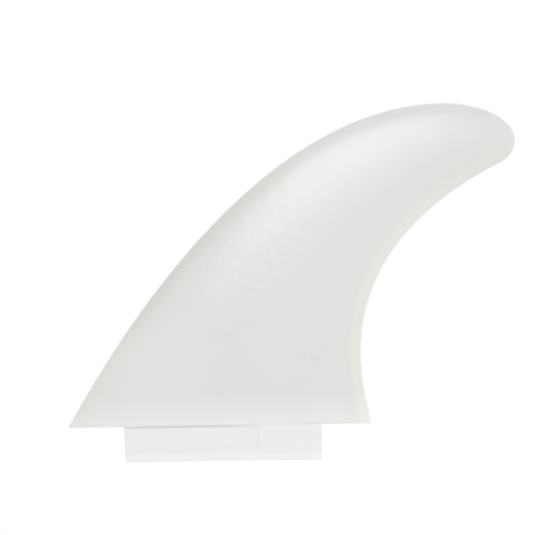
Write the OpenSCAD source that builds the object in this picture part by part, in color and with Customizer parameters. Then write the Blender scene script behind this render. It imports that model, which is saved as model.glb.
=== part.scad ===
// Surfboard fin, one solid moulding: a foiled blade on a straight mounting tab.
// X runs aft along the board, Z stands out of the board and Y is across the blade.
// The origin is the middle of the tab, on the plane where the blade meets the board.

/* [Blade outline] */
// Length of the base, from the nose to its rear corner
base_l = 114; // [108:0.5:120]
// Height of the crown, the highest point of the leading edge
depth = 120; // [110:0.5:130]
// Distance of the crown behind the nose
crown_x = 142.5; // [136:0.5:150]
// Distance of the rearmost point of the tip behind the crown
tip_reach = 27.3; // [24:0.1:31]
// Drop of the rearmost point of the tip below the crown
tip_fall = 14; // [12:0.1:17]
// Distance of the heel, the lower end of the tip's round corner, ahead of the rearmost point
heel_in = 5.9; // [5:0.1:7]
// Drop of the heel below the rearmost point
heel_fall = 8.8; // [8:0.1:10]
// Angle between the base and the leading edge at the nose, in degrees
nose_angle = 60.8; // [57:0.2:64]
// Length of the leading edge's handle at the nose
nose_pull = 37.5; // [30:0.5:45]
// Length of the leading edge's handle before the crown
crown_pull = 69; // [60:0.5:75]
// Length of the tip's handle behind the crown
tip_pull = 16.8; // [13:0.2:20]
// Length of the tip's handle above its rearmost point
reach_pull = 6.6; // [4:0.2:9]
// Length of the round corner's handle below the rearmost point
corner_pull = 5; // [3:0.2:6]
// Length of the round corner's handle behind the heel
heel_pull = 2.4; // [1:0.2:4]
// Slope of the trailing edge at the heel, in degrees
heel_angle = 26.6; // [22:0.2:32]
// Length of the trailing edge's handle below the heel
sweep_pull = 80; // [70:0.5:86]
// Lean of the trailing edge at the rear corner of the base, in degrees
rear_angle = 93.5; // [90:0.5:98]
// Length of the trailing edge's handle above the rear corner
rear_pull = 9.8; // [6:0.2:16]

/* [Foil] */
// Greatest thickness of the blade just above its flared foot
root_t = 7; // [6.4:0.1:8]
// Thickness halfway along the blade
mid_t = 4.8; // [4.2:0.1:5.6]
// Thickness that the blade runs out to before its tip closes
tip_t = 3; // [2.4:0.1:3.6]
// Thickness of the rounded trailing edge
edge_t = 0.9; // [0.6:0.1:1.2]
// Share of the chord at which the foil is thickest
crest = 0.4; // [0.32:0.01:0.46]
// Share of the blade's run at which the tip starts to close
closing = 0.88; // [0.84:0.01:0.92]
// Width of the bevel along the trailing edge
bevel_w = 4.5; // [3.5:0.1:5.5]
// Thickness that each face loses across the bevel
bevel_t = 0.7; // [0.4:0.05:0.8]
// Height over which the blade flares towards its foot
flare_h = 8; // [5:0.5:12]
// Extra half thickness that the flare adds at the foot
flare_t = 0.25; // [0.1:0.05:0.5]
// Radius of the softened edge round the foot of the blade
foot_r = 0.5; // [0.3:0.1:0.8]

/* [Tab] */
// Distance of the tab's front end behind the nose
tab_setback = 21.1; // [18:0.1:24]
// Length of the tab where it leaves the blade
tab_l = 74.4; // [70:0.1:78]
// Depth of the tab below the blade
tab_d = 13.3; // [12:0.1:18]
// Thickness of the tab
tab_w = 6.35; // [6:0.05:7]
// Draft of the tab's two ends, in degrees
tab_draft = 1.5; // [0:0.1:3]
// Radius of the corners at the ends of the tab's foot
tab_corner_r = 1; // [0.6:0.1:1.6]
// Radius of the upright edges of the tab
tab_edge_r = 0.4; // [0.3:0.1:0.8]
// Height of the lead-in bevel along the tab's foot
lead_h = 2.6; // [1.6:0.1:3]
// Width of the lead-in bevel on each side of the foot
lead_w = 0.7; // [0.4:0.1:1]

/* [Panel] */
// Length of the shallow panel in one side of the tab
panel_l = 48.9; // [44:0.1:50]
// Height of the panel
panel_h = 8.5; // [7.5:0.1:9]
// Depth of the panel
panel_d = 0.3; // [0.2:0.1:0.6]
// Plain margin between the tab's front end and the panel
panel_front = 1.4; // [1:0.1:2]
// Plain margin between the blade and the panel
panel_top = 0.4; // [0.3:0.1:0.8]
// Radius of the panel's corners
panel_r = 0.8; // [0.5:0.1:1.5]

/* [Hidden] */
moulding = "whitesmoke";

// Sections along the blade
stations = 58;
// Steps of the foil across each face, across its bevel and round half of the trailing edge
face_steps = 30;
bevel_steps = 3;
edge_steps = 3;
steps = face_steps + bevel_steps + edge_steps;
ring = 2 * steps;
// Steps along each curve of the outline, and round each corner of the tab
curve_steps = 60;
corner_steps = 6;
// Length by which a crossing shape passes the surface that it cuts
past = 1;
// Largest share of a short chord that the bevel takes
bevel_most = 0.36;
// Length beyond the tab's ends over which the foot's soft edge comes in, and the least that the
// foot laps over the side of the tab
foot_fade = 3;
foot_lap = 0.02;

edge_r = edge_t / 2;
tab_front = -tab_l / 2;
tab_side_y = tab_w / 2;

// The outline's corners, as [x, z]
nose = [tab_front - tab_setback, 0];
rear = nose + [base_l, 0];
crown = nose + [crown_x, depth];
reach = crown + [tip_reach, -tip_fall];
heel = reach - [heel_in, heel_fall];

// Unit step in a direction given in degrees above the base
function ray(angle) = [cos(angle), sin(angle)];

// Point at share t of the cubic curve from a to d with the handles b and c
function cubic(a, b, c, d, t) =
    a * pow(1 - t, 3) + 3 * b * t * pow(1 - t, 2) + 3 * c * t * t * (1 - t) + d * pow(t, 3);

// Points of that curve between two of its shares
function curve(a, b, c, d, t0 = 0, t1 = 1) =
    [for (i = [0:curve_steps]) cubic(a, b, c, d, t0 + (t1 - t0) * i / curve_steps)];

// The tip's round corner between two of its shares
function round_corner(t0, t1) =
    curve(reach, reach - [0, corner_pull], heel + heel_pull * ray(heel_angle), heel, t0, t1);

// A line of points without its first one
function rest(points) = [for (i = [1:len(points) - 1]) points[i]];

// Leading edge, from the nose over the crown to the middle of the round corner
leading = concat(
    curve(nose, nose + nose_pull * ray(nose_angle), crown - [crown_pull, 0], crown),
    rest(curve(crown, crown + [tip_pull, 0], reach + [0, reach_pull], reach)),
    rest(round_corner(0, 0.5))
);

// Trailing edge, from the rear corner of the base up to the same point
trailing = concat(
    curve(rear, rear + rear_pull * ray(rear_angle), heel - sweep_pull * ray(heel_angle), heel),
    rest(round_corner(1, 0.5))
);

// Distance travelled along a line of points, at each of them
function travel(points) = [
    for (i = 0, way = 0; i < len(points); way = way + step_after(points, i), i = i + 1) way
];
function step_after(points, i) = i + 1 < len(points) ? norm(points[i + 1] - points[i]) : 0;

// Table of one coordinate against the share of the way along a line of points
function table(points, axis) =
    let (way = travel(points))
    [for (i = [0:len(points) - 1]) [way[i] / way[len(way) - 1], points[i][axis]]];

leading_x = table(leading, 0);
leading_z = table(leading, 1);
trailing_x = table(trailing, 0);
trailing_z = table(trailing, 1);

// What is left of the thickness at share s of the run, as the tip closes in a quarter ellipse
function opening(s) = s <= closing ? 1 : sqrt(max(0, 1 - pow((s - closing) / (1 - closing), 2)));

// Half thickness at share s: a parabola through the root, middle and tip thicknesses
function half_t(s) =
    opening(s) / 2 * (root_t * (1 - s) * (1 - 2 * s) + 4 * mid_t * s * (1 - s) + tip_t * s * (2 * s - 1));

// Height of one face at share u of the chord: a quarter ellipse, then a parabola to the crease
// where the bevel starts, then the bevel's slope to the edge
function face(u, half, edge, drop, bevel) =
    u < crest
        ? half * sqrt(1 - pow(1 - u / crest, 2))
        : u < 1 - bevel
            ? half - (half - edge - drop) * pow((u - crest) / (1 - bevel - crest), 2)
            : edge + drop * (1 - u) / bevel;

// Growth of the thickness towards the foot
function flare(z) = z >= flare_h ? 1 : 1 + 2 * flare_t / root_t * pow(1 - z / flare_h, 2);

// 1 along the tab, falling to 0 beyond its two ends
function beside_tab(x) = max(0, min(1, 1 + (tab_l / 2 - abs(x)) / foot_fade));

// Height y of a face at point p once the foot's edge is softened. Along the tab the soft edge
// runs out on the tab's side, and where the tab is the thicker of the two there is none.
function soften(p, y) =
    let (inset = p.y >= foot_r ? 0 : 1 - sqrt(1 - pow(1 - p.y / foot_r, 2)))
    max(y * (1 - 2 * foot_r / root_t * inset), min(y, (tab_side_y + foot_lap) * beside_tab(p.x)));

// Share of the chord at step k, with short steps at the nose and round the trailing edge, from the
// shares of the chord that the bevel and the rounding take
function chord_share(k, bevel, rounding) =
    k <= face_steps
        ? (1 - bevel) * (1 - cos(90 * k / face_steps))
        : 1 - bevel + (bevel - rounding) * min(1, (k - face_steps) / bevel_steps)
            + rounding * sin(90 * max(0, k - face_steps - bevel_steps) / edge_steps);

// What is left of the face's height at step k, as the trailing edge rounds off
function edge_share(k) = cos(90 * max(0, k - face_steps - bevel_steps) / edge_steps);

// Closed ring of points round the blade at share s of its run
function section(s) =
    let (
        front = [lookup(s, leading_x), lookup(s, leading_z)],
        back = [lookup(s, trailing_x), lookup(s, trailing_z)],
        chord = norm(back - front),
        half = half_t(s),
        edge = edge_r * opening(s),
        drop = bevel_t * opening(s),
        bevel = min(bevel_w / chord, bevel_most)
    )
    [
        for (i = [0:ring - 1])
            let (
                k = i <= steps ? i : ring - i,
                side = i <= steps ? 1 : -1,
                u = chord_share(k, bevel, edge / chord),
                p = front + (back - front) * u,
                y = face(u, half, edge, drop, bevel) * edge_share(k) * flare(p.y)
            )
            [p.x, side * soften(p, y), p.y]
    ];

// Share of the run at which section j stands, with short steps at the foot and at the tip
function station(j) = (1 - cos(180 * j / stations)) / 2;

// Foiled blade: a loft through its sections, closed at the tip's round corner
module blade() {
    end = leading[len(leading) - 1];
    pole = stations * ring;
    points = concat(
        [for (j = [0:stations - 1]) each section(station(j))],
        [[end.x, 0, end.y]]
    );
    foot = [for (i = [ring - 1:-1:0]) i];
    bands = [
        for (j = [0:stations - 2], i = [0:ring - 1])
            let (
                a = j * ring + i,
                b = j * ring + (i + 1) % ring,
                c = a + ring,
                d = b + ring
            )
            each (i < steps ? [[a, b, d], [a, d, c]] : [[a, b, c], [b, d, c]])
    ];
    cap = [for (i = [0:ring - 1]) [pole - ring + i, pole - ring + (i + 1) % ring, pole]];
    color(moulding)
        polyhedron(points = points, faces = concat([foot], bands, cap), convexity = 4);
}

// Points of an arc about a centre, between two angles
function arc(centre, r, from, to) =
    [for (i = [0:corner_steps]) centre + r * ray(from + (to - from) * i / corner_steps)];

// Rectangle with round corners, from its low corner
function round_box(low, size, r) = concat(
    arc(low + [r, r], r, 180, 270),
    arc(low + [size.x - r, r], r, 270, 360),
    arc(low + [size.x - r, size.y - r], r, 0, 90),
    arc(low + [r, size.y - r], r, 90, 180)
);

// Side view of the tab: drafted ends and round lower corners
module tab_side() {
    corner_z = tab_corner_r - tab_d;
    corner_in = -corner_z * tan(tab_draft) + tab_corner_r / cos(tab_draft);
    corner_x = -tab_front - corner_in;
    polygon(concat(
        [[tab_front, 0]],
        arc([-corner_x, corner_z], tab_corner_r, 180 + tab_draft, 270),
        arc([corner_x, corner_z], tab_corner_r, 270, 360 - tab_draft),
        [[-tab_front, 0]]
    ));
}

// End view of the tab: straight sides with a lead-in bevel at the foot
module tab_end() {
    polygon([
        [-tab_side_y, 0],
        [-tab_side_y, lead_h - tab_d],
        [lead_w - tab_side_y, -tab_d],
        [tab_side_y - lead_w, -tab_d],
        [tab_side_y, lead_h - tab_d],
        [tab_side_y, 0]
    ]);
}

// Plan view of the tab: a rectangle with its upright edges rounded
module tab_plan() {
    polygon(round_box([tab_front, -tab_side_y], [tab_l, tab_w], tab_edge_r));
}

// Space of the shallow panel in the side of the tab that faces -Y
module panel() {
    low = [tab_front + panel_front, -panel_top - panel_h];
    translate([0, panel_d - tab_side_y, 0])
        rotate([90, 0, 0])
            linear_extrude(panel_d + past)
                polygon(round_box(low, [panel_l, panel_h], panel_r));
}

// Mounting tab: what its side, end and plan views have in common, less the panel
module tab() {
    color(moulding)
        difference() {
            intersection() {
                translate([0, tab_side_y + past, 0])
                    rotate([90, 0, 0])
                        linear_extrude(tab_w + 2 * past)
                            tab_side();
                translate([tab_front - past, 0, 0])
                    rotate([90, 0, 90])
                        linear_extrude(tab_l + 2 * past)
                            tab_end();
                translate([0, 0, -tab_d - past])
                    linear_extrude(tab_d + 2 * past)
                        tab_plan();
            }
            panel();
        }
}

// The whole fin, moulded in one piece
module fin() {
    union() {
        blade();
        tab();
    }
}

fin();
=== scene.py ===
"""Dresses the surfboard fin: one smooth plastic moulding in a plain pale studio.

All lengths are metres in the frame of the solid model: X runs aft along the board, Z stands out of
the board, Y is across the blade, and the origin is the middle of the tab on the plane of the base.
"""

from __future__ import annotations

import logging
import math
from collections.abc import Iterable, Mapping, Sequence
from dataclasses import dataclass, field, fields
from enum import Enum

import bmesh
import bpy
from mathutils import Matrix, Vector


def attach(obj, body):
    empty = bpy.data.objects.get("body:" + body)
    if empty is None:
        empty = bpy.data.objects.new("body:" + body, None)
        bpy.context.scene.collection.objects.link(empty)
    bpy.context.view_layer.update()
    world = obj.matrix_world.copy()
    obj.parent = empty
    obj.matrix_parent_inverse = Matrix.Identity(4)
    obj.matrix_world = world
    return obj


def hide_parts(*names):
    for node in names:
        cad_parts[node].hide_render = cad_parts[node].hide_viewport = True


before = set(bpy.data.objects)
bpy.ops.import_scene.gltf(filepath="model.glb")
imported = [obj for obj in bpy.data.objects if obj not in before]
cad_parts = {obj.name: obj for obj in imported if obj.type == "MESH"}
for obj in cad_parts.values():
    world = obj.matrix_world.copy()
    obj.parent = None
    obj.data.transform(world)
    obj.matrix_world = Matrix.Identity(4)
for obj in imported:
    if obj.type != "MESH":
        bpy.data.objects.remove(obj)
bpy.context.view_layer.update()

log = logging.getLogger("fin")

MM = 0.001
CM3 = 1e-6
ON_BASE = 0.001 * MM  # points lower than this lie on the base
WELD = 0.0001 * MM  # points nearer to each other than this become one


class Op(Enum):
    """Operations of the Math node that the expressions use."""

    ADD = "ADD"
    SUBTRACT = "SUBTRACT"
    MULTIPLY = "MULTIPLY"
    DIVIDE = "DIVIDE"
    SQRT = "SQRT"
    SINE = "SINE"
    COSINE = "COSINE"
    RADIANS = "RADIANS"
    ABSOLUTE = "ABSOLUTE"
    SIGN = "SIGN"
    MINIMUM = "MINIMUM"
    MAXIMUM = "MAXIMUM"
    LESS_THAN = "LESS_THAN"


class Side(Enum):
    """Sides of the blade: the camera's, with the panel, and the far one."""

    NEAR = 1
    FAR = -1


class Edge(Enum):
    """Edges of the blade, by the attribute that holds how near a point is to them."""

    LEADING = "near_front"
    TRAILING = "near_back"


class Merge(Enum):
    """Ways in which one solid is merged with another."""

    JOIN = "UNION"
    CUT = "DIFFERENCE"


@dataclass(frozen=True)
class Value:
    """A number on a node socket, which Python's operators turn into Math nodes."""

    graph: Graph
    socket: Socket

    def __add__(self, other: Term) -> Value:
        """Sum."""
        return self.graph.math(Op.ADD, self, other)

    def __radd__(self, other: Term) -> Value:
        """Sum with a number on the left."""
        return self.graph.math(Op.ADD, other, self)

    def __sub__(self, other: Term) -> Value:
        """Difference."""
        return self.graph.math(Op.SUBTRACT, self, other)

    def __rsub__(self, other: Term) -> Value:
        """Difference from a number on the left."""
        return self.graph.math(Op.SUBTRACT, other, self)

    def __mul__(self, other: Term) -> Value:
        """Product."""
        return self.graph.math(Op.MULTIPLY, self, other)

    def __rmul__(self, other: Term) -> Value:
        """Product with a number on the left."""
        return self.graph.math(Op.MULTIPLY, other, self)

    def __truediv__(self, other: Term) -> Value:
        """Quotient, 0 where the divisor is 0."""
        return self.graph.math(Op.DIVIDE, self, other)

    def __rtruediv__(self, other: Term) -> Value:
        """Quotient of a number on the left."""
        return self.graph.math(Op.DIVIDE, other, self)

    def __neg__(self) -> Value:
        """The same number with its sign changed."""
        return self.graph.math(Op.MULTIPLY, self, -1.0)

    def __abs__(self) -> Value:
        """The number without its sign."""
        return self.graph.math(Op.ABSOLUTE, self)

    def __lt__(self, other: Term) -> Value:
        """1 where the number is less than the other, else 0."""
        return self.graph.math(Op.LESS_THAN, self, other)

    def squared(self) -> Value:
        """The number times itself."""
        return self.graph.math(Op.MULTIPLY, self, self)

    def sqrt(self) -> Value:
        """Square root, 0 below 0."""
        return self.graph.math(Op.SQRT, self)

    def sin(self) -> Value:
        """Sine of an angle in radians."""
        return self.graph.math(Op.SINE, self)

    def cos(self) -> Value:
        """Cosine of an angle in radians."""
        return self.graph.math(Op.COSINE, self)

    def radians(self) -> Value:
        """An angle in degrees made radians."""
        return self.graph.math(Op.RADIANS, self)

    def sign(self) -> Value:
        """1 above 0 and -1 below it."""
        return self.graph.math(Op.SIGN, self)

    def at_least(self, low: Term) -> Value:
        """The number, or the low one where that is greater."""
        return self.graph.math(Op.MAXIMUM, self, low)

    def at_most(self, high: Term) -> Value:
        """The number, or the high one where that is less."""
        return self.graph.math(Op.MINIMUM, self, high)

    def clamped(self) -> Value:
        """The number kept between 0 and 1."""
        return self.at_least(0.0).at_most(1.0)

    def arc(self) -> Value:
        """Height of a circle of radius 1 at this distance from its middle, 0 outside it."""
        return (1 - self.squared()).at_least(0.0).sqrt()

    def ramp(self, low: Term, high: Term) -> Value:
        """Smooth rise from 0 at the low number to 1 at the high one."""
        share = ((self - low) / (high - low)).clamped()
        return share.squared() * (3 - 2 * share)

    def choose(self, one: Term, other: Term) -> Value:
        """One number where this mask is 1, and the other where it is 0."""
        return self * one + (1 - self) * other


Term = Value | float
Feed = object
Socket = bpy.types.NodeSocket
Sizes = Mapping[str, Value]
Place = tuple[Value, Value, Value]
Point = tuple[float, float, float]
Colour = tuple[float, float, float]
Pair = tuple[float, float]

WHITE: Colour = (1.0, 1.0, 1.0)


@dataclass
class Graph:
    """A node tree that is filled one node at a time."""

    tree: bpy.types.NodeTree

    @classmethod
    def emptied(cls, owner: bpy.types.Material | bpy.types.World) -> Graph:
        """Gives the node tree of a material or world, with nothing in it.

        Args:
            owner: The material or world.

        Returns:
            Its tree.
        """
        owner.use_nodes = True
        owner.node_tree.nodes.clear()
        return cls(owner.node_tree)

    def node(
        self,
        kind: str,
        settings: Mapping[str, object] | None = None,
        sockets: Mapping[str | int, Feed] | None = None,
    ) -> bpy.types.Node:
        """Adds a node.

        Args:
            kind: The node's type name.
            settings: Its properties, which are set first.
            sockets: The value or link of each input, by name or number.

        Returns:
            The new node.
        """
        made = self.tree.nodes.new(kind)
        for name, setting in (settings or {}).items():
            setattr(made, name, setting)
        for key, feed in (sockets or {}).items():
            self.feed(made.inputs[key], feed)
        return made

    def feed(self, socket: Socket, feed: Feed) -> None:
        """Links an input to a value or socket, or sets it to a constant.

        Args:
            socket: The input.
            feed: What it gets.
        """
        if isinstance(feed, Value):
            feed = feed.socket
        if isinstance(feed, Socket):
            self.tree.links.new(feed, socket)
        else:
            socket.default_value = feed

    def math(self, operation: Op, *terms: Term) -> Value:
        """Adds a Math node on one or two terms and gives its result."""
        made = self.node("ShaderNodeMath", {"operation": operation.value}, dict(enumerate(terms)))
        return Value(self, made.outputs[0])

    def split(self, vector: Socket) -> Place:
        """The three coordinates of a vector."""
        made = self.node("ShaderNodeSeparateXYZ", None, {0: vector})
        return tuple(Value(self, output) for output in made.outputs)

    def join(self, x: Term, y: Term, z: Term) -> Socket:
        """A vector from its three coordinates."""
        return self.node("ShaderNodeCombineXYZ", None, {0: x, 1: y, 2: z}).outputs[0]


@dataclass(frozen=True)
class Spot:
    """A point or step in the plane of the blade, in numbers or expressions."""

    x: Term
    z: Term

    def __add__(self, other: Spot) -> Spot:
        """Sum of two steps."""
        return Spot(self.x + other.x, self.z + other.z)

    def __sub__(self, other: Spot) -> Spot:
        """Step from the other point to this one."""
        return Spot(self.x - other.x, self.z - other.z)

    def __mul__(self, by: Term) -> Spot:
        """The step made longer or shorter."""
        return Spot(self.x * by, self.z * by)

    def length(self) -> Value:
        """Length of a step."""
        return (self.x.squared() + self.z.squared()).sqrt()

    def middle(self, other: Spot) -> Spot:
        """The point halfway to another one."""
        return (self + other) * 0.5


@dataclass(frozen=True)
class Cubic:
    """A cubic curve in the plane of the blade: its start, two handles and end."""

    start: Spot
    first: Spot
    second: Spot
    end: Spot

    def half(self) -> Cubic:
        """Halves the curve.

        Returns:
            The half that lies next to its start.
        """
        first = self.start.middle(self.first)
        inner = self.first.middle(self.second)
        second = first.middle(inner)
        end = second.middle(inner.middle(self.second.middle(self.end)))
        return Cubic(self.start, first, second, end)


def new_object(name: str, data: bpy.types.ID | None = None) -> bpy.types.Object:
    """Adds an object at the scene's origin.

    Args:
        name: Its name.
        data: Its mesh, lamp or camera, or an empty mesh where none is given.

    Returns:
        The object.
    """
    made = bpy.data.objects.new(name, data or bpy.data.meshes.new(name))
    bpy.context.scene.collection.objects.link(made)
    return made


def freeze(piece: bpy.types.Object) -> None:
    """Turns what a piece's modifiers make into its plain mesh, and removes them.

    Args:
        piece: The piece.
    """
    depsgraph = bpy.context.evaluated_depsgraph_get()
    mesh = bpy.data.meshes.new_from_object(piece.evaluated_get(depsgraph))
    mesh.name = piece.name
    piece.modifiers.clear()
    piece.data = mesh


def merge(piece: bpy.types.Object, tool: bpy.types.Object, how: Merge) -> None:
    """Joins a tool to a piece, or cuts it out of it, and deletes the tool.

    Args:
        piece: The piece, which is changed.
        tool: The other solid.
        how: Whether it is joined or cut out.
    """
    modifier = piece.modifiers.new("merge", "BOOLEAN")
    modifier.object = tool
    modifier.operation = how.value
    modifier.solver = "EXACT"
    freeze(piece)
    bpy.data.objects.remove(tool)


def loft(name: str, rings: Sequence[Sequence[Vector]]) -> bpy.types.Object:
    """Makes a closed solid through rings of equally many points.

    Args:
        name: Name of the object and of its mesh.
        rings: Closed rings of points from one end of the solid to the other.

    Returns:
        The solid, with its faces pointing outwards.
    """
    bm = bmesh.new()
    rows = [[bm.verts.new(point) for point in ring] for ring in rings]
    count = len(rows[0])
    for low, high in zip(rows, rows[1:]):
        for i in range(count):
            j = (i + 1) % count
            bm.faces.new((low[i], low[j], high[j], high[i]))
    bm.faces.new(rows[0])
    bm.faces.new(rows[-1])
    bmesh.ops.recalc_face_normals(bm, faces=bm.faces)
    mesh = bpy.data.meshes.new(name)
    bm.to_mesh(mesh)
    bm.free()
    return new_object(name, mesh)


def round_box(half_a: float, half_b: float, radius: float, steps: int) -> list[Pair]:
    """Points round a rectangle with round corners.

    Args:
        half_a: Half of its first side.
        half_b: Half of its second side.
        radius: Radius of its corners.
        steps: Steps round each corner.

    Returns:
        The points as pairs, about the rectangle's middle.
    """
    points = []
    for quarter, (sign_a, sign_b) in enumerate(((1, 1), (-1, 1), (-1, -1), (1, -1))):
        for i in range(steps + 1):
            angle = math.radians(90 * (quarter + i / steps))
            a = sign_a * (half_a - radius) + radius * math.cos(angle)
            b = sign_b * (half_b - radius) + radius * math.sin(angle)
            points.append((a, b))
    return points


@dataclass(frozen=True)
class Scuff:
    """A faint short scuff on the near face of the blade, from one spot to another."""

    start: Pair
    end: Pair
    width: float
    strength: float

    def mask(self, place: Place) -> Value:
        """Works out how much of the scuff shows.

        Args:
            place: The coordinates of the point on the piece.

        Returns:
            Its strength along the middle of the scuff, falling to 0 at its sides and ends.
        """
        length, across, height = place
        run = Spot(*self.end) - Spot(*self.start)
        step = Spot(length, height) - Spot(*self.start)
        share = (step.x * run.x + step.z * run.z) / (run.x**2 + run.z**2)
        off = step - run * share.clamped()
        return (1 - off.length() / self.width).at_least(0.0) * (across < 0.0) * self.strength


@dataclass(frozen=True)
class Noise:
    """Noise from 0 to 1, by the size of its features and how much finer detail they carry."""

    size: float
    detail: float
    roughness: float = 0.55

    def value(self, g: Graph, place: Socket) -> Value:
        """Adds the noise to a material.

        Args:
            g: The material's tree.
            place: The point on the piece.

        Returns:
            The noise there.
        """
        made = g.node(
            "ShaderNodeTexNoise",
            {"noise_dimensions": "3D"},
            {
                "Vector": place,
                "Scale": 1 / self.size,
                "Detail": self.detail,
                "Roughness": self.roughness,
            },
        )
        return Value(g, made.outputs["Fac"])


@dataclass(frozen=True)
class Patch:
    """A round part of the blade, by its middle and the distances at which it ends and is full."""

    middle: Pair
    reach: Pair

    def mask(self, place: Place) -> Value:
        """Works out how far inside the part a point is.

        Args:
            place: The coordinates of the point on the piece.

        Returns:
            1 well inside the part and 0 outside it.
        """
        length, _, height = place
        return (Spot(length, height) - Spot(*self.middle)).length().ramp(*self.reach)


@dataclass(frozen=True)
class EdgeTint:
    """A tint near the blade's edges.

    Its reach is the closeness to an edge at which it starts and is full, and its run is the pair of
    distances along or up the blade between which it comes in.
    """

    colour: Colour
    reach: Pair
    run: Pair


@dataclass(frozen=True)
class CreaseShade:
    """Painted shade in the crease beside the tab, by the heights and lengths between which it comes and
    goes.
    """

    rise: Pair = (-1.0 * MM, -0.3 * MM)
    top: Pair = (0.1 * MM, 0.4 * MM)
    start: Pair = (-38 * MM, -36.5 * MM)
    end: Pair = (22 * MM, -8 * MM)
    share: float = 0.55
    clouding: Pair = (0.6, 1.4)

    def mask(self, place: Place, cloud: Value) -> Value:
        """Works out how much painted shade lies at a point.

        Args:
            place: The coordinates of the point on the piece.
            cloud: Slow noise, which thins and thickens the shade.

        Returns:
            The share of painted shade in the colour.
        """
        length, _, height = place
        crease = height.ramp(*self.rise) * (1 - height.ramp(*self.top))
        crease = crease * length.ramp(*self.start) * length.ramp(*self.end)
        least, most = self.clouding
        return crease * self.share * (least + (most - least) * cloud)


@dataclass(frozen=True)
class Plastic:
    """Semi-gloss white moulded plastic, matter on the tab, and a little whiter on and towards the tab as
    painted light from below.

    It is a little yellow near the blade's edges, with painted light where the trailing edge thins out and
    on the outermost rim, and painted shade along the leading edge.
    """

    blade_colour: Colour = (0.77, 0.77, 0.767)
    # the tab's whiter colour, and the blade's whitening towards the base, are painted light from below
    tab_colour: Colour = (0.885, 0.888, 0.866)
    # colour of the cloudy tone, of the grime in pits and scuffs, and of the painted shade in the crease
    dirt_colour: Colour = (0.62, 0.61, 0.58)
    fade_height: float = 13 * MM
    fade_least: float = 0.3
    pale: Patch = Patch(middle=(-32 * MM, 20 * MM), reach=(36 * MM, 6 * MM))
    pale_share: float = 0.24
    yellow: EdgeTint = EdgeTint(colour=(0.998, 1.0, 0.965), reach=(0.1, 0.8), run=(120 * MM, 90 * MM))
    # painted light along the last millimetres of the trailing edge
    thin: EdgeTint = EdgeTint(colour=(1.057, 1.04, 1.025), reach=(0.58, 0.82), run=(103 * MM, 70 * MM))
    # painted shade along the leading edge, strongest about this height
    worn: EdgeTint = EdgeTint(colour=(0.94, 0.945, 0.945), reach=(0.5, 0.92), run=(46 * MM, 14 * MM))
    worn_height: float = 62 * MM
    # painted light on the outermost rim of both edges
    rim: EdgeTint = EdgeTint(colour=(1.15, 1.15, 1.15), reach=(0.95, 0.993), run=(2 * MM, 14 * MM))
    # painted shade in the crease under the blade's foot
    dirt: CreaseShade = CreaseShade()
    # painted light from below on the tab's bottom strip
    rub_heights: Pair = (-11.3 * MM, -9.8 * MM)
    rub_tint: float = 0.05
    cloud: Noise = Noise(size=24 * MM, detail=2.0)
    cloud_tint: float = 0.07
    blade_gloss: float = 0.18
    tab_gloss: float = 0.42
    gloss_swing: float = 0.04
    rough_part: Patch = Patch(middle=(10 * MM, 68 * MM), reach=(42 * MM, 12 * MM))
    mottle: Noise = Noise(size=4.2 * MM, detail=1.5)
    mottle_depth: Pair = (0.03 * MM, 0.09 * MM)
    pits: Noise = Noise(size=1.6 * MM, detail=0.0)
    pit_limits: Pair = (0.7, 0.84)
    pit_depth: float = 0.015 * MM
    pit_share: float = 0.16
    scuffs: tuple[Scuff, ...] = (
        Scuff(start=(33.4 * MM, 25.2 * MM), end=(36.8 * MM, 21.4 * MM), width=0.8 * MM, strength=0.22),
        Scuff(start=(27.8 * MM, 27.2 * MM), end=(30.2 * MM, 25.3 * MM), width=0.7 * MM, strength=0.18),
        Scuff(start=(-4.0 * MM, 36.0 * MM), end=(4.5 * MM, 33.5 * MM), width=0.5 * MM, strength=0.12),
        Scuff(start=(41.0 * MM, 88.0 * MM), end=(49.0 * MM, 92.5 * MM), width=0.5 * MM, strength=0.1),
    )
    grain: Noise = Noise(size=0.3 * MM, detail=2.0)
    blade_grain: float = 0.0008 * MM
    tab_grain: float = 0.008 * MM
    seam_width: float = 0.12 * MM
    seam_depth: float = 0.02 * MM
    refraction: float = 1.5

    @staticmethod
    def blend(g: Graph, share: Term, under: Feed, over: Feed) -> Socket:
        """Mixes two colours.

        Args:
            g: The material's tree.
            share: Share of the second colour.
            under: The first colour.
            over: The second colour.

        Returns:
            The mixed colour.
        """
        colours = {"A": under, "B": over}
        for name, colour in colours.items():
            if isinstance(colour, tuple):
                colours[name] = (*colour, 1.0)
        made = g.node("ShaderNodeMix", {"data_type": "RGBA"}, {"Factor": share, **colours})
        return made.outputs["Result"]

    @staticmethod
    def tint(g: Graph, share: Value, under: Socket, by: Colour) -> Socket:
        """Multiplies a colour by another.

        Args:
            g: The material's tree.
            share: Share of the whole effect.
            under: The colour.
            by: What it is multiplied by.

        Returns:
            The tinted colour.
        """
        settings = {"data_type": "RGBA", "blend_type": "MULTIPLY"}
        made = g.node("ShaderNodeMix", settings, {"Factor": share, "A": under, "B": (*by, 1.0)})
        return made.outputs["Result"]

    @staticmethod
    def near(g: Graph, edge: Edge) -> Value:
        """Closeness to one of the blade's edges, 1 on it and 0 well inside."""
        made = g.node("ShaderNodeAttribute", {"attribute_type": "GEOMETRY", "attribute_name": edge.value})
        return Value(g, made.outputs["Fac"])

    def edge_tints(self, g: Graph, place: Place, base: Socket) -> Socket:
        """Tints a colour near the blade's edges.

        Args:
            g: The material's tree.
            place: The coordinates of the point on the piece.
            base: The colour.

        Returns:
            The colour, yellowed, with painted light on the trailing edge's last millimetres and on the rim,
            and painted shade on the front.
        """
        length, _, height = place
        blade = 1 - (height < 0.0)
        front, back = (self.near(g, edge) * blade for edge in (Edge.LEADING, Edge.TRAILING))
        yellow = (front * height.ramp(*self.yellow.run)).at_least(back).ramp(*self.yellow.reach)
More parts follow.
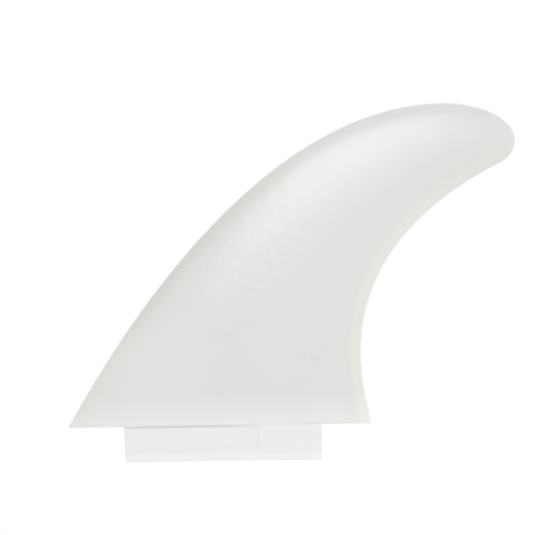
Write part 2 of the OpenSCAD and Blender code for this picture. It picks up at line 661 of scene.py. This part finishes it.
        # painted light along the trailing edge
        thin = back.ramp(*self.thin.reach) * length.ramp(*self.thin.run)
        # painted shade along the leading edge
        worn = front.ramp(*self.worn.reach) * abs(height - self.worn_height).ramp(*self.worn.run)
        # painted light on the outermost rim
        rim = front.at_least(back).ramp(*self.rim.reach) * height.ramp(*self.rim.run)
        tints = ((yellow, self.yellow), (thin, self.thin), (worn, self.worn), (rim, self.rim))
        for share, edge_tint in tints:
            base = self.tint(g, share, base, edge_tint.colour)
        return base

    def colour(self, g: Graph, place: Place, cloud: Value, marks: Value) -> Socket:
        """Works out the colour: whiter towards the tab as painted light from below, with painted shade in
        the crease beside it.

        Args:
            g: The material's tree.
            place: The coordinates of the point on the piece.
            cloud: Slow noise.
            marks: Share of grime in the pits and scuffs.

        Returns:
            The colour.
        """
        _, _, height = place
        # painted light from below: the blade whitens towards the tab's colour near the base, and higher up
        # in the pale patch by the nose
        fade = self.fade_least + (1 - self.fade_least) * height.ramp(0.0, self.fade_height)
        fade = fade * (1 - self.pale_share * self.pale.mask(place))
        base = self.blend(g, (height < 0.0).choose(0.0, fade), self.tab_colour, self.blade_colour)
        base = self.blend(g, self.cloud_tint * (1 - cloud), base, self.dirt_colour)
        base = self.blend(g, marks, self.edge_tints(g, place, base), self.dirt_colour)
        # painted light from below whitens the tab's bottom strip
        whitening = self.rub_tint / (1 - max(self.tab_colour))
        base = self.blend(g, whitening * (1 - height.ramp(*self.rub_heights)), base, WHITE)
        # painted shade darkens the crease under the blade's foot
        return self.blend(g, self.dirt.mask(place, cloud), base, self.dirt_colour)

    def relief(self, place: Place, waves: Value, pits: Value, grain: Value) -> Value:
        """Works out the height of the fine relief.

        Args:
            place: The coordinates of the point on the piece.
            waves: Height of the slow waves in the gloss.
            pits: Mask of the pits.
            grain: Fine noise.

        Returns:
            The height: waves and pits in the gloss, grain, and the line where the mould parts.
        """
        _, across, height = place
        seam = 1 - (abs(across) / self.seam_width).at_most(1.0)
        return (
            waves
            - pits * self.pit_depth
            + grain * (height < 0.0).choose(self.tab_grain, self.blade_grain)
            + seam * self.seam_depth
        )

    def material(self) -> bpy.types.Material:
        """Builds the material.

        Returns:
            The material, whose colour, roughness and relief vary over the surface.
        """
        made = bpy.data.materials.new("fin_plastic")
        g = Graph.emptied(made)
        point = g.node("ShaderNodeTexCoord").outputs["Object"]
        place = g.split(point)
        _, _, height = place
        cloud, mottle, grain = (noise.value(g, point) for noise in (self.cloud, self.mottle, self.grain))
        rough_part = self.rough_part.mask(place)
        pits = self.pits.value(g, point).ramp(*self.pit_limits) * rough_part
        marks = pits * self.pit_share
        for scuff in self.scuffs:
            marks = marks + scuff.mask(place)
        low_wave, high_wave = self.mottle_depth
        waves = mottle * (low_wave + (high_wave - low_wave) * rough_part)
        rough = (height < 0.0).choose(self.tab_gloss, self.blade_gloss)
        rough = rough + self.gloss_swing * (cloud - 0.5) + self.gloss_swing * (mottle - 0.5)
        relief = self.relief(place, waves, pits, grain)
        bump = g.node("ShaderNodeBump", None, {"Strength": 1.0, "Distance": 1.0, "Height": relief})
        shader = g.node(
            "ShaderNodeBsdfPrincipled",
            None,
            {
                "Base Color": self.colour(g, place, cloud, marks.at_most(1.0)),
                "Roughness": rough,
                "IOR": self.refraction,
                "Normal": bump.outputs[0],
            },
        )
        g.node("ShaderNodeOutputMaterial", None, {"Surface": shader.outputs[0]})
        return made


@dataclass
class Blade:
    """The foiled blade: sections along chords that fan round from the base to the tip."""

    nose_x: float = -58.3 * MM
    base: float = 114 * MM
    depth: float = 120 * MM
    crown_x: float = 142.5 * MM
    tip_reach: float = 27.3 * MM
    tip_fall: float = 14 * MM
    heel_in: float = 5.9 * MM
    heel_fall: float = 8.8 * MM
    nose_angle: float = 60.8
    nose_pull: float = 37.5 * MM
    crown_pull: float = 69 * MM
    tip_pull: float = 16.8 * MM
    reach_pull: float = 6.6 * MM
    corner_pull: float = 5 * MM
    heel_pull: float = 2.4 * MM
    heel_angle: float = 26.6
    sweep_pull: float = 80 * MM
    rear_angle: float = 93.5
    rear_pull: float = 9.8 * MM
    root_t: float = 7 * MM
    mid_t: float = 4.8 * MM
    tip_t: float = 3 * MM
    edge_t: float = 0.9 * MM
    crest: float = 0.4
    closing: float = 0.88
    bevel_w: float = 4.5 * MM
    bevel_t: float = 0.7 * MM
    bevel_most: float = 0.36
    flare_h: float = 8 * MM
    flare_t: float = 0.25 * MM
    foot_r: float = 0.5 * MM
    foot_drop: float = 0.03 * MM
    foot_fade: float = 3 * MM
    foot_lap: float = 0.02 * MM
    edge_reach: float = 14 * MM
    tab_l: float = 74.4 * MM
    tab_w: float = 6.35 * MM
    crowding: float = 0.9
    curve_steps: int = 256
    stations: int = 180
    face_steps: int = 96
    bevel_steps: int = 8
    edge_steps: int = 8

    def inputs(self, g: Graph) -> tuple[dict[str, Value], dict[str, object]]:
        """Gives a tree one named input for each size.

        Args:
            g: The tree.

        Returns:
            The inputs' values in the tree by name of the size, and the sizes by the identifier of
            their input.
        """
        settings = {}
        for size in fields(self):
            amount = getattr(self, size.name)
            kind = "NodeSocketInt" if isinstance(amount, int) else "NodeSocketFloat"
            label = size.name.replace("_", " ").title()
            socket = g.tree.interface.new_socket(label, in_out="INPUT", socket_type=kind)
            settings[socket.identifier] = amount
        outputs = g.node("NodeGroupInput").outputs
        values = {size.name: Value(g, output) for size, output in zip(fields(self), outputs)}
        return values, settings

    @staticmethod
    def sample(g: Graph, chain: Sequence[Cubic], steps: Value, share: Value) -> Spot:
        """Samples a chain of curves by the share of its whole length.

        Args:
            g: The tree.
            chain: The curves, each starting where the last one ends.
            steps: Steps along each curve.
            share: Share of the length at which to sample.

        Returns:
            The point there.
        """
        joined = g.node("GeometryNodeJoinGeometry")
        for cubic in reversed(chain):
            curve = g.node(
                "GeometryNodeCurvePrimitiveBezierSegment",
                {"mode": "POSITION"},
                {
                    "Resolution": steps,
                    "Start": g.join(cubic.start.x, 0.0, cubic.start.z),
                    "Start Handle": g.join(cubic.first.x, 0.0, cubic.first.z),
                    "End Handle": g.join(cubic.second.x, 0.0, cubic.second.z),
                    "End": g.join(cubic.end.x, 0.0, cubic.end.z),
                },
            )
            g.feed(joined.inputs[0], curve.outputs[0])
        sample = g.node(
            "GeometryNodeSampleCurve",
            {"mode": "FACTOR", "use_all_curves": True},
            {"Curves": joined.outputs[0], "Factor": share},
        )
        x, _, z = g.split(sample.outputs["Position"])
        return Spot(x, z)

    def edges(self, g: Graph, size: Sizes, share: Value) -> tuple[Spot, Spot]:
        """Finds the ends of the chord at a share of the blade's run.

        Args:
            g: The tree.
            size: The named inputs.
            share: Share of the run, 0 at the base and 1 at the middle of the tip's round corner.

        Returns:
            The points on the leading and the trailing edge.
        """

        def ray(angle: Value, length: Value) -> Spot:
            """Step of a given length at an angle above the base."""
            turn = angle.radians()
            return Spot(turn.cos(), turn.sin()) * length

        def along(length: Term) -> Spot:
            """Step along the base."""
            return Spot(length, 0.0)

        def up(length: Term) -> Spot:
            """Step away from the base."""
            return Spot(0.0, length)

        nose = Spot(size["nose_x"] + 0.0, 0.0)
        rear = nose + along(size["base"])
        crown = nose + Spot(size["crown_x"], size["depth"])
        reach = crown + Spot(size["tip_reach"], -size["tip_fall"])
        heel = reach - Spot(size["heel_in"], size["heel_fall"])
        below_reach = reach - up(size["corner_pull"])
        behind_heel = heel + ray(size["heel_angle"], size["heel_pull"])
        leading = [
            Cubic(
                nose,
                nose + ray(size["nose_angle"], size["nose_pull"]),
                crown - along(size["crown_pull"]),
                crown,
            ),
            Cubic(crown, crown + along(size["tip_pull"]), reach + up(size["reach_pull"]), reach),
            Cubic(reach, below_reach, behind_heel, heel).half(),
        ]
        trailing = [
            Cubic(
                rear,
                rear + ray(size["rear_angle"], size["rear_pull"]),
                heel - ray(size["heel_angle"], size["sweep_pull"]),
                heel,
            ),
            Cubic(heel, behind_heel, below_reach, reach).half(),
        ]
        steps = size["curve_steps"]
        return self.sample(g, leading, steps, share), self.sample(g, trailing, steps, share)

    @staticmethod
    def thickness(size: Sizes, share: Value) -> Value:
        """Works out the thickness of a section before the tip's closing.

        Args:
            size: The named inputs.
            share: Share of the blade's run.

        Returns:
            The thickness on a parabola through those of the root, the middle and the tip.
        """
        return (
            size["root_t"] * (1 - share) * (1 - 2 * share)
            + size["mid_t"] * 4 * share * (1 - share)
            + size["tip_t"] * share * (2 * share - 1)
        )

    @staticmethod
    def foot(size: Sizes, spot: Spot, face: Value) -> Value:
        """Flares a face towards the base, and softens its edge where it overhangs the tab.

        Args:
            size: The named inputs.
            spot: The point in the plane of the blade.
            face: How far the face stands off that plane there.

        Returns:
            How far it stands off when flared and softened.
        """
        under_flare = (1 - spot.z / size["flare_h"]).at_least(0.0)
        flare = 1 + 2 * size["flare_t"] / size["root_t"] * under_flare.squared()
        under_edge = (1 - spot.z / size["foot_r"]).at_least(0.0)
        soften = 1 - 2 * size["foot_r"] / size["root_t"] * (1 - under_edge.arc())
        beside_tab = (1 + (size["tab_l"] / 2 - abs(spot.x)) / size["foot_fade"]).clamped()
        tab_side = (size["tab_w"] / 2 + size["foot_lap"]) * beside_tab
        face = face * flare
        return (face * soften).at_least(face.at_most(tab_side))

    def place(self, g: Graph, size: Sizes) -> tuple[Socket, dict[Edge, Value]]:
        """Works out where each point of the flat sheet goes.

        The sheet's rows follow the blade's run, down one face and up the other, and its columns
        follow the chord. The strip of faces between the two middle rows closes the foot.

        Args:
            g: The tree.
            size: The named inputs.

        Returns:
            The new position of each point, and how near it is to each edge.
        """
        row, column, _ = g.split(g.node("GeometryNodeInputPosition").outputs[0])
        run = (abs(row) - 0.5) / size["stations"]
        share = (run - size["crowding"] * (run * math.tau).sin() / math.tau).clamped()
        to_bevel = size["face_steps"]
        to_edge = to_bevel + size["bevel_steps"]
        step = column + (to_edge + size["edge_steps"]) / 2
        face_turn = (step / to_bevel).at_most(1.0) * (math.pi / 2)
        bevel_share = ((step - to_bevel) / size["bevel_steps"]).clamped()
        edge_turn = ((step - to_edge) / size["edge_steps"]).at_least(0.0) * (math.pi / 2)

        front, back = self.edges(g, size, share)
        reach = back - front
        chord = reach.length()
        opening = ((share - size["closing"]) / (1 - size["closing"])).at_least(0.0).arc()
        half = opening * self.thickness(size, share) / 2
        edge = opening * size["edge_t"] / 2
        rounding = edge / chord
        bevel = (size["bevel_w"] / chord).at_most(size["bevel_most"])
        crease = 1 - bevel
        along = (
            crease * (1 - face_turn.cos())
            + (bevel - rounding) * bevel_share
            + rounding * edge_turn.sin()
        )
        spot = front + reach * along

        before = 1 - (along / size["crest"]).at_most(1.0)
        behind = ((along - size["crest"]) / (crease - size["crest"])).clamped()
        lower = ((along - crease) / bevel).at_least(0.0)
        drop = opening * size["bevel_t"]
        face = half * before.arc() - (half - edge - drop) * behind.squared() - drop * lower
        face = self.foot(size, spot, face * edge_turn.cos())
        sink = (spot.z < ON_BASE) * size["foot_drop"]
        near = {
            Edge.LEADING: (1 - along * chord / size["edge_reach"]).at_least(0.0),
            Edge.TRAILING: (1 - (1 - along) * chord / size["edge_reach"]).at_least(0.0),
        }
        return g.join(spot.x, face * row.sign(), spot.z - sink), near

    def build(self, finish: bpy.types.Material) -> bpy.types.Object:
        """Makes the blade with Geometry Nodes.

        Args:
            finish: Its material.

        Returns:
            The blade as a closed solid.
        """
        g = Graph(bpy.data.node_groups.new("foiled blade", "GeometryNodeTree"))
        g.tree.interface.new_socket("Geometry", in_out="OUTPUT", socket_type="NodeSocketGeometry")
        size, settings = self.inputs(g)
        steps = size["face_steps"] + size["bevel_steps"] + size["edge_steps"]
        sheet = g.node(
            "GeometryNodeMeshGrid",
            None,
            {
                "Size X": size["stations"] * 2 + 1,
                "Size Y": steps,
                "Vertices X": size["stations"] * 2 + 2,
                "Vertices Y": steps + 1,
            },
        )
        position, near = self.place(g, size)
        marked = sheet.outputs["Mesh"]
        for edge, closeness in near.items():
            marked = g.node(
                "GeometryNodeStoreNamedAttribute",
                {"data_type": "FLOAT", "domain": "POINT"},
                {"Geometry": marked, "Name": edge.value, "Value": closeness},
            ).outputs[0]
        bent = g.node("GeometryNodeSetPosition", None, {"Geometry": marked, "Position": position})
        closed = g.node(
            "GeometryNodeMergeByDistance", None, {"Geometry": bent.outputs[0], "Distance": WELD}
        )
        real = g.node("GeometryNodeRealizeInstances", None, {0: closed.outputs[0]})
        painted = g.node(
            "GeometryNodeSetMaterial", None, {"Geometry": real.outputs[0], "Material": finish}
        )
        g.node("NodeGroupOutput", None, {0: painted.outputs[0]})
        blade = new_object("fin_moulding")
        modifier = blade.modifiers.new("foil", "NODES")
        modifier.node_group = g.tree
        for identifier, amount in settings.items():
            modifier[identifier] = amount
        freeze(blade)
        return blade


@dataclass
class Tab:
    """The straight mounting tab, with a shallow bare panel in the side that faces -Y."""

    length: float = 74.4 * MM
    depth: float = 13.3 * MM
    width: float = 6.35 * MM
    draft: float = 1.5
    corner_r: float = 1 * MM
    edge_r: float = 0.4 * MM
    foot_r: float = 0.35 * MM
    lead_h: float = 2.6 * MM
    lead_w: float = 0.7 * MM
    panel_l: float = 48.9 * MM
    panel_h: float = 8.5 * MM
    panel_d: float = 0.3 * MM
    panel_front: float = 1.4 * MM
    panel_top: float = 0.4 * MM
    panel_r: float = 0.8 * MM
    panel_lip: float = 0.12 * MM
    corner_steps: int = 8
    plain_levels: int = 6
    lead_levels: int = 10
    foot_levels: int = 12

    def half_length(self, z: float) -> float:
        """Works out half of the length: drafted ends, then a round lower corner.

        Args:
            z: The height.

        Returns:
            Half of the length there.
        """
        draft = math.radians(self.draft)
        centre_z = self.corner_r - self.depth
        if z >= centre_z:
            return self.length / 2 + z * math.tan(draft)
        centre = self.length / 2 + centre_z * math.tan(draft) - self.corner_r / math.cos(draft)
        return centre + math.sqrt(max(0.0, self.corner_r**2 - (z - centre_z) ** 2))

    def half_width(self, z: float) -> float:
        """Works out half of the width: straight, then a bevel, then a small round edge.

        Args:
            z: The height.

        Returns:
            Half of the width there.
        """
        low = self.lead_h - self.depth
        width = self.width / 2 - self.lead_w * max(0.0, (low - z) / self.lead_h)
        down = max(0.0, (self.foot_r - self.depth) - z) / self.foot_r
        return width - self.foot_r * (1 - math.sqrt(max(0.0, 1 - down**2)))

    def levels(self) -> list[float]:
        """Spaces the rings out, closer together towards the foot.

        Returns:
            The heights of the rings, from the base down.
        """
        low = self.lead_h - self.depth
        foot = self.corner_r - self.depth
        plain = [low * i / self.plain_levels for i in range(self.plain_levels)]
        lead = [low + (foot - low) * i / self.lead_levels for i in range(self.lead_levels)]
        turn = [math.pi / 2 * i / self.foot_levels for i in range(self.foot_levels + 1)]
        return plain + lead + [foot - self.corner_r * math.sin(angle) for angle in turn]

    def body(self) -> bpy.types.Object:
        """Makes the tab before its panel is cut.

        Returns:
            The tab as a closed solid.
        """
        rings = []
        for z in self.levels():
            ring = round_box(self.half_length(z), self.half_width(z), self.edge_r, self.corner_steps)
            rings.append([Vector((x, y, z)) for x, y in ring])
        return loft("tab", rings)

    def panel(self) -> bpy.types.Object:
        """Makes the space of the panel, with its rim rounded over and its floor filleted.

        Returns:
            The space as a closed solid.
        """
        side = -self.width / 2
        middle_x = -self.length / 2 + self.panel_front + self.panel_l / 2
        middle_z = -self.panel_top - self.panel_h / 2
        lip = self.panel_lip
        turns = [math.pi / 2 * i / self.corner_steps for i in range(self.corner_steps + 1)]
        profile = [(side - lip, lip)]
        profile += [(side + lip * (1 - math.cos(t)), lip * (1 - math.sin(t))) for t in turns]
        floor = side + self.panel_d
        profile += [(floor - lip * (1 - math.sin(t)), -lip * (1 - math.cos(t))) for t in turns]
        rings = []
        for y, grow in profile:
            ring = round_box(
                self.panel_l / 2 + grow,
                self.panel_h / 2 + grow,
                self.panel_r + grow,
                self.corner_steps,
            )
            rings.append([Vector((middle_x + x, y, middle_z + z)) for x, z in ring])
        return loft("panel", rings)

    def build(self, finish: bpy.types.Material) -> bpy.types.Object:
        """Makes the tab.

        Args:
            finish: Its material.

        Returns:
            The tab as a closed solid.
        """
        tab = self.body()
        merge(tab, self.panel(), Merge.CUT)
        tab.data.materials.clear()
        tab.data.materials.append(finish)
        return tab


@dataclass
class Fin:
    """The whole moulding."""

    plastic: Plastic = field(default_factory=Plastic)
    blade: Blade = field(default_factory=Blade)
    tab: Tab = field(default_factory=Tab)
    sharp_angle: float = 30.0

    def build(self) -> bpy.types.Object:
        """Makes the fin and puts it in the place of its solid.

        Returns:
            The finished piece.
        """
        finish = self.plastic.material()
        fin = self.blade.build(finish)
        merge(fin, self.tab.build(finish), Merge.JOIN)
        fin.data.shade_smooth()
        fin.data.set_sharp_from_angle(angle=math.radians(self.sharp_angle))
        normals = fin.modifiers.new("normals", "WEIGHTED_NORMAL")
        normals.keep_sharp = True
        freeze(fin)
        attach(fin, "root")
        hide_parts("fin")
        report(fin)
        return fin


def report(piece: bpy.types.Object) -> None:
    """Logs a piece's faces, open edges and volume.

    Args:
        piece: The piece.
    """
    bm = bmesh.new()
    bm.from_mesh(piece.data)
    loose = sum(1 for edge in bm.edges if len(edge.link_faces) != 2)
    volume = bm.calc_volume(signed=True) / CM3
    log.info("%s: %d faces, %d open edges, %.3f cm3", piece.name, len(bm.faces), loose, volume)
    bm.free()


@dataclass(frozen=True)
class Lamp:
    """A soft rectangular lamp that faces a point of the fin.

    Its glow is the brightness of its face, beside which a plain white surface in it is 1. Where it
    isn't mirrored, it doesn't show in the gloss.
    """

    name: str
    place: Point
    aim: Point
    width: float
    height: float
    glow: float
    mirrored: bool

    def build(self, side: Side) -> bpy.types.Object:
        """Makes the lamp, hidden from the camera.

        Args:
            side: The side of the blade that it stands on.

        Returns:
            The lamp's object.
        """
        light = bpy.data.lights.new(self.name, "AREA")
        light.shape = "RECTANGLE"
        light.size = self.width
        light.size_y = self.height
        light.energy = self.glow * math.pi * self.width * self.height
        made = new_object(f"{self.name}_{side.name.lower()}", light)
        turn = Vector((side.value, side.value, 1.0))
        aim = Vector(self.aim)
        away = (Vector(self.place) - aim) * turn
        made.location = aim + away
        made.rotation_euler = (-away).to_track_quat("-Z", "Y").to_euler()
        made.visible_camera = False
        made.visible_glossy = self.mirrored
        return made


@dataclass
class Studio:
    """Camera, floor, lamps and sky. Only the sensor's width is in millimetres."""

    aim: Point = (17.6 * MM, 0.0, 59.15 * MM)
    distance: float = 2.0
    sensor_width: float = 36.0
    view_width: float = 201.4 * MM
    roll: float = 0.908
    floor_z: float = -60 * MM
    floor_size: float = 6.0
    floor_colour: Colour = (0.9, 0.9, 0.9)
    floor_fade: Pair = (0.1, 0.34)
    floor_glow: float = 0.85
    sky: float = 0.635
    lamps: tuple[Lamp, ...] = (
        Lamp(
            name="key",
            place=(0.0286, -0.546, 0.174),
            aim=(0.0167, 0.0, 0.065),
            width=0.164,
            height=0.164,
            glow=3.72,
            mirrored=True,
        ),
        Lamp(
            name="fill",
            place=(0.9232, -0.5767, 0.2997),
            aim=(0.0167, 0.0, 0.065),
            width=1.78,
            height=1.78,
            glow=0.645,
            mirrored=False,
        ),
        Lamp(
            name="card",
            place=(0.01, -0.17, -0.058),
            aim=(0.01, -0.17, 0.1),
            width=0.4,
            height=0.26,
            glow=0.134,
            mirrored=False,
        ),
    )

    def camera(self) -> None:
        """Sets the camera in the photograph's place: level, far away and square to the blade."""
        data = bpy.data.cameras.new("camera")
        data.sensor_width = self.sensor_width
        data.lens = self.sensor_width * self.distance / self.view_width
        made = new_object("camera", data)
        place = Vector(self.aim) - Vector((0.0, self.distance, 0.0))
        turn = Matrix.Rotation(math.radians(90), 4, "X") @ Matrix.Rotation(math.radians(-self.roll), 4, "Z")
        made.matrix_world = Matrix.Translation(place) @ turn
        bpy.context.scene.camera = made

    @staticmethod
    def seen(g: Graph) -> Value:
        """Tells the rays that show the studio itself: camera, mirror and glass rays.

        Args:
            g: The tree.

        Returns:
            1 for those rays and 0 for the others.
        """
        path = g.node("ShaderNodeLightPath")
        camera = Value(g, path.outputs["Is Camera Ray"])
        glossy = Value(g, path.outputs["Is Glossy Ray"])
        glass = Value(g, path.outputs["Is Transmission Ray"])
        return camera.at_least(glossy).at_least(glass)

    def floor(self) -> bpy.types.Object:
        """Lays the pale floor, which keeps the fin's soft shadow.

        Returns:
            The floor.
        """
        bm = bmesh.new()
        bmesh.ops.create_grid(bm, x_segments=1, y_segments=1, size=self.floor_size / 2)
        bmesh.ops.translate(bm, verts=bm.verts, vec=(0.0, 0.0, self.floor_z))
        mesh = bpy.data.meshes.new("floor")
        bm.to_mesh(mesh)
        bm.free()
        floor = new_object("floor", mesh)
        paper = bpy.data.materials.new("paper")
        g = Graph.emptied(paper)
        diffuse = g.node("ShaderNodeBsdfDiffuse", None, {"Color": (*self.floor_colour, 1.0)})
        glow = g.node("ShaderNodeEmission", None, {"Color": (*WHITE, 1.0), "Strength": 1.0})
        x, y, _ = g.split(g.node("ShaderNodeTexCoord").outputs["Object"])
        fade = (x.squared() + y.squared()).sqrt().ramp(*self.floor_fade)
        share = self.floor_glow + (1 - self.floor_glow) * fade
        mixed = g.node(
            "ShaderNodeMixShader",
            None,
            {0: self.seen(g) * share, 1: diffuse.outputs[0], 2: glow.outputs[0]},
        )
        g.node("ShaderNodeOutputMaterial", None, {"Surface": mixed.outputs[0]})
        mesh.materials.append(paper)
        return floor

    def world(self) -> None:
        """Sets an even sky, which shows as white."""
        world = bpy.data.worlds.new("studio")
        g = Graph.emptied(world)
        strength = self.seen(g).choose(1.0, self.sky)
        light = g.node("ShaderNodeBackground", None, {"Color": (*WHITE, 1.0), "Strength": strength})
        g.node("ShaderNodeOutputWorld", None, {"Surface": light.outputs[0]})
        bpy.context.scene.world = world

    def build(self) -> None:
        """Sets up the studio."""
        bpy.context.scene.view_settings.view_transform = "Standard"
        self.camera()
        self.floor()
        self.world()
        for lamp in self.lamps:
            for side in Side:
                lamp.build(side)


def main() -> None:
    """Builds the fin and its studio, and logs the fin's faces, open edges and volume."""
    logging.basicConfig(level=logging.INFO, format="%(message)s")
    Fin().build()
    Studio().build()


if __name__ == "__main__":
    main()
